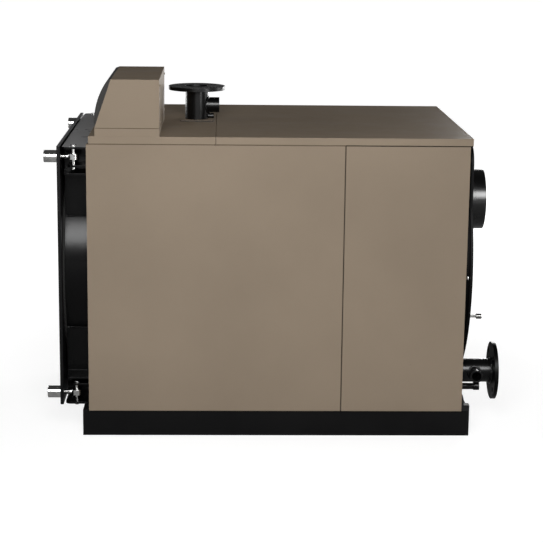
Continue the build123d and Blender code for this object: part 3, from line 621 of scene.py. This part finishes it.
bolts = bmesh.new()
for y in (plate_low[1] + PLATE_BOLT_INSET, plate_high[1] - PLATE_BOLT_INSET):
    for z in (plate_low[2] + PLATE_BOLT_INSET, plate_high[2] - PLATE_BOLT_INSET):
        hex_bolt(bolts, Vector((plate_low[0], y, z)), -X_AXIS, PLATE_BOLT_FLATS, turn=0.3)
finish_piece("burner_plate_screws", bolts, "zinc", "door")

screws = bmesh.new()
for y in (rear_low[1] + REAR_SCREW_INSET, rear_high[1] - REAR_SCREW_INSET):
    for share in REAR_SCREW_SHARES:
        z = rear_low[2] + (rear_high[2] - rear_low[2]) * share
        if y < 0 and share == REAR_SCREW_SHARES[0]:
            z += FLANGE_CLEARANCE
        pan_screw(screws, Vector((rear_high[0], y, z)), X_AXIS, REAR_SCREW)
finish_piece("rear_panel_screws", screws, "zinc", "boiler")

screws = bmesh.new()
for y in (hood_low[1] + HOOD_SCREW_INSET, hood_high[1] - HOOD_SCREW_INSET):
    for z in (hood_low[2] + 0.016, hood_high[2] - 0.020):
        pan_screw(screws, Vector((hood_high[0], y, z)), X_AXIS, HOOD_SCREW)
finish_piece("hood_screws", screws, "casing_paint", "boiler")

pins = bmesh.new()
pin_inset = (hinge_high[0] - hinge_low[0]) / 2
for y in (hinge_low[1] + pin_inset, hinge_high[1] - pin_inset):
    for rise in SPLIT_PIN_RISES:
        centre = Vector((hinge_x, y, AXIS_HEIGHT + rise))
        bead(pins, circle_points(centre - Y_AXIS * 0.0085, X_AXIS, SPLIT_RING, 0.0014),
             SPLIT_WIRE, ripple=0)
        bead(pins, line_points(centre - Y_AXIS * 0.0070, centre + Y_AXIS * 0.0095, 0.004),
             SPLIT_LEG, closed=False, ripple=0)
finish_piece("split_pins", pins, "zinc", "boiler")


# ---------------------------------------------------------------- instruments on the panel
def largest_face(node, towards):
    """Centre and direction of a CAD node's largest flat face that looks a given way."""
    flats = {}
    for face in nodes[node].data.polygons:
        if face.normal.dot(towards) > 0.5:
            key = tuple(round(value, 2) for value in face.normal)
            key += (round(face.normal.dot(face.center), 4),)
            area, moment = flats.get(key, (0, Vector()))
            flats[key] = (area + face.area, moment + face.center * face.area)
    key = max(flats, key=lambda entry: flats[entry][0])
    area, moment = flats[key]
    return moment / area, Vector(key[:3]).normalized()


def plate(shape, place, x, y, width, height, low, high, turn=0.0):
    """Adds a thin raised mark on a face, turned about the face's centre."""
    spin = place @ Matrix.Rotation(turn, 4, "Z")
    corners = [(x + a * width, y + b * height)
               for a, b in ((-0.5, -0.5), (0.5, -0.5), (0.5, 0.5), (-0.5, 0.5))]
    foot, top = [[shape.verts.new(spin @ Vector((*corner, level))) for corner in corners]
                 for level in (low, high)]
    shape.faces.new(foot)
    shape.faces.new(top)
    for k in range(4):
        after = (k + 1) % 4
        shape.faces.new((foot[k], foot[after], top[after], top[k]))


DIGIT_SHARE = 0.72  # height of a digit, as a share of the lettering's size


def number(shape, text, place, x, y, height, low, high):
    """Adds a plain number on a face, in Blender's own lettering."""
    curve = bpy.data.curves.new("number", "FONT")
    curve.body = text
    curve.size = height / DIGIT_SHARE
    curve.align_x = "CENTER"
    curve.align_y = "CENTER"
    curve.extrude = (high - low) / 2
    curve.resolution_u = 3
    letter = bpy.data.objects.new("number", curve)
    mesh = bpy.data.meshes.new_from_object(letter)
    mesh.transform(place @ Matrix.Translation((x, y, (low + high) / 2)))
    shape.from_mesh(mesh)
    bpy.data.objects.remove(letter)
    bpy.data.curves.remove(curve)
    bpy.data.meshes.remove(mesh)


def face_place(centre, normal):
    """Matrix with +Z out of a panel face, +Y up it and +X to the reader's right."""
    right_hand = Z_AXIS.cross(normal).normalized()
    upward = normal.cross(right_hand)
    matrix = Matrix((right_hand, upward, normal)).transposed().to_4x4()
    return Matrix.Translation(centre) @ matrix


MARK = 0.0003  # height of a printed mark
DIAL_STEPS = 24
STEPS_PER_NUMBER = 4
DEGREES_PER_STEP = 5
DIAL_SWEEP = 270
SCALE_RADIUS = 0.0262
NUMBER_RADIUS = 0.0172
NUMBER_HEIGHT = 0.0042
HAND_TURN = math.radians(118)
POINTER_TURN = math.radians(-40)

dial_print = moulded_material("dial_print", (0.60, 0.60, 0.57), 0.50, 900.0, specular=0.2)
dial_centre, dial_normal = largest_face("thermometer_dial", -X_AXIS)
dial_place = face_place(dial_centre, dial_normal)
marks = bmesh.new()
for step in range(DIAL_STEPS + 1):
    turn = math.radians(-DIAL_SWEEP / 2 + DIAL_SWEEP * step / DIAL_STEPS)
    numbered = step % STEPS_PER_NUMBER == 0
    width, length = (0.0011, 0.0045) if numbered else (0.0006, 0.0026)
    plate(marks, dial_place, 0, SCALE_RADIUS - length / 2, width, length, 0, MARK, turn=turn)
    if numbered:
        number(marks, str(step * DEGREES_PER_STEP), dial_place,
               -NUMBER_RADIUS * math.sin(turn), NUMBER_RADIUS * math.cos(turn),
               NUMBER_HEIGHT, 0, MARK)
finish_piece("dial_scale", marks, "zinc", "boiler", material=dial_print)

hand = bmesh.new()
plate(hand, dial_place, 0, 0.0085, 0.0013, 0.0210, MARK, 3 * MARK, turn=HAND_TURN)
turned(hand, [(0, MARK), (0.0034, MARK), (0.0032, 5 * MARK), (0.0012, 6 * MARK),
              (0, 6 * MARK)], dial_centre, dial_normal, steps=24)
finish_piece("dial_hand", hand, "zinc", "boiler", material=dial_print)

knob_centre, knob_normal = largest_face("thermostat_knob", -X_AXIS)
knob_place = face_place(knob_centre, knob_normal)
pointer = bmesh.new()
plate(pointer, knob_place, 0, 0.0095, 0.0016, 0.0110, 0, MARK, turn=POINTER_TURN)
finish_piece("knob_pointer", pointer, "zinc", "boiler", material=dial_print)


# ---------------------------------------------------------------- camera, lamps and floor
TARGET = Vector((0, 0, 0.55))  # what the lamps are aimed at


def lamp(name, place, width, height, power, lights=True, mirrored=True):
    """Soft rectangular lamp aimed at the boiler. It lights, it is mirrored, or it does both."""
    data = bpy.data.lights.new(name, "AREA")
    data.shape = "RECTANGLE"
    data.size = width
    data.size_y = height
    data.energy = power
    item = new_object(name, data)
    item.visible_diffuse = lights
    item.visible_glossy = mirrored
    item.location = place
    item.rotation_euler = (TARGET - Vector(place)).to_track_quat("-Z", "Y").to_euler()


# the camera was fitted to the photo's edges
IMAGE_SIZE = 543
FOCAL_PIXELS = 1631.5
SENSOR = 36.0
CAMERA_PLACE = (-0.1722, -5.3768, 1.6008)
yaw = math.radians(1.822)
pitch = math.radians(12.225)
roll = math.radians(-0.65)
forward = Vector((math.sin(yaw) * math.cos(pitch), math.cos(yaw) * math.cos(pitch),
                  -math.sin(pitch)))
level_right = Vector((math.cos(yaw), -math.sin(yaw), 0))
level_down = forward.cross(level_right)
right = level_right * math.cos(roll) + level_down * math.sin(roll)
up = level_right * math.sin(roll) - level_down * math.cos(roll)
camera_data = bpy.data.cameras.new("camera")
camera_data.lens = FOCAL_PIXELS * SENSOR / IMAGE_SIZE
camera_data.sensor_width = SENSOR
camera_data.clip_end = 200.0
camera = new_object("camera", camera_data)
turn = Matrix((right, up, -forward)).transposed().to_4x4()
camera.matrix_world = Matrix.Translation(CAMERA_PLACE) @ turn
bpy.context.scene.camera = camera

LEFT_PLACE = (-4.60, -0.40, 1.50)
lamp("key_lamp", (-0.20, -3.00, 1.95), 1.0, 0.8, 43, mirrored=False)
lamp("high_front_lamp", (-0.60, -5.20, 1.75), 3.4, 1.4, 98, mirrored=False)
lamp("front_strip", (0.15, -3.20, 2.12), 3.6, 1.25, 285, lights=False)
lamp("right_strip", (2.60, -3.10, 0.90), 0.5, 1.6, 40, lights=False)
lamp("rear_left_strip", (-3.00, 3.20, 0.90), 0.8, 1.6, 60, lights=False)
lamp("back_lamp", (2.60, 4.20, 1.30), 2.6, 1.4, 180)
lamp("left_lamp", LEFT_PLACE, 1.8, 1.8, 80, mirrored=False)
lamp("left_strip", LEFT_PLACE, 1.8, 1.8, 30, lights=False)
lamp("right_lamp", (4.80, 0.90, 1.20), 1.8, 1.8, 52)


def ray_kinds(tree, *kinds):
    """One where the ray is of one of these kinds, nought for the others."""
    path = tree.nodes.new("ShaderNodeLightPath")
    value = path.outputs[kinds[0]]
    for kind in kinds[1:]:
        value = arithmetic(tree, "MAXIMUM", value, path.outputs[kind])
    return value


def seen_and_mirrored(tree, seen, mirrored):
    """Strength for rays that see the surface and, by another value, for rays that mirror it."""
    direct = ray_kinds(tree, "Is Camera Ray", "Is Transmission Ray")
    glossy = ray_kinds(tree, "Is Glossy Ray")
    return arithmetic(tree, "MAXIMUM", arithmetic(tree, "MULTIPLY", direct, seen),
                      arithmetic(tree, "MULTIPLY", glossy, mirrored))


WHITE = (1, 1, 1, 1)
HORIZON_BLEND = 0.05
SKY_GLOW = 0.07  # in mirrored rays, above the horizon
AMBIENT = 0.03
FLOOR_GLOW = 0.80
MIRRORED_GLOW = 0.11
PAPER = (0.35, 0.35, 0.35, 1)
FLOOR_SIZE = 40.0
FLOOR_GAP = 0.0005  # under the feet

world = bpy.data.worlds.new("studio_world")
bpy.context.scene.world = world
world.use_nodes = True
tree = world.node_tree
tree.nodes.clear()
coordinates = tree.nodes.new("ShaderNodeTexCoord")
direction = tree.nodes.new("ShaderNodeSeparateXYZ")
tree.links.new(coordinates.outputs["Generated"], direction.inputs["Vector"])
sky = remap(tree, direction.outputs["Z"], 0.0, HORIZON_BLEND, 1.0, SKY_GLOW)
strength = arithmetic(tree, "MAXIMUM", seen_and_mirrored(tree, 1.0, sky), AMBIENT)
background = add(tree, "ShaderNodeBackground", Color=WHITE)
output = tree.nodes.new("ShaderNodeOutputWorld")
tree.links.new(strength, background.inputs["Strength"])
tree.links.new(background.outputs["Background"], output.inputs["Surface"])

floor_shape = bmesh.new()
bmesh.ops.create_grid(floor_shape, x_segments=4, y_segments=4, size=FLOOR_SIZE)
floor_mesh = bpy.data.meshes.new("floor")
floor_shape.to_mesh(floor_mesh)
floor_shape.free()
floor_material = bpy.data.materials.new("floor_paper")
floor_material.use_nodes = True
tree = floor_material.node_tree
tree.nodes.clear()
distance = tree.nodes.new("ShaderNodeVectorMath")
distance.operation = "LENGTH"
tree.links.new(object_point(tree), distance.inputs[0])
away = distance.outputs["Value"]
glow = seen_and_mirrored(tree, remap(tree, away, 1.0, 2.8, FLOOR_GLOW, 1.0),
                         remap(tree, away, 4.0, 9.0, MIRRORED_GLOW, 1.0))
emission = add(tree, "ShaderNodeEmission", Color=WHITE)
tree.links.new(glow, emission.inputs["Strength"])
paper = add(tree, "ShaderNodeBsdfDiffuse", Color=PAPER)
sum_shader = tree.nodes.new("ShaderNodeAddShader")
output = tree.nodes.new("ShaderNodeOutputMaterial")
tree.links.new(paper.outputs["BSDF"], sum_shader.inputs[0])
tree.links.new(emission.outputs["Emission"], sum_shader.inputs[1])
tree.links.new(sum_shader.outputs["Shader"], output.inputs["Surface"])
floor_mesh.materials.append(floor_material)
floor = new_object("floor", floor_mesh)
floor.location.z = -FLOOR_GAP

bpy.context.scene.view_settings.view_transform = "Standard"
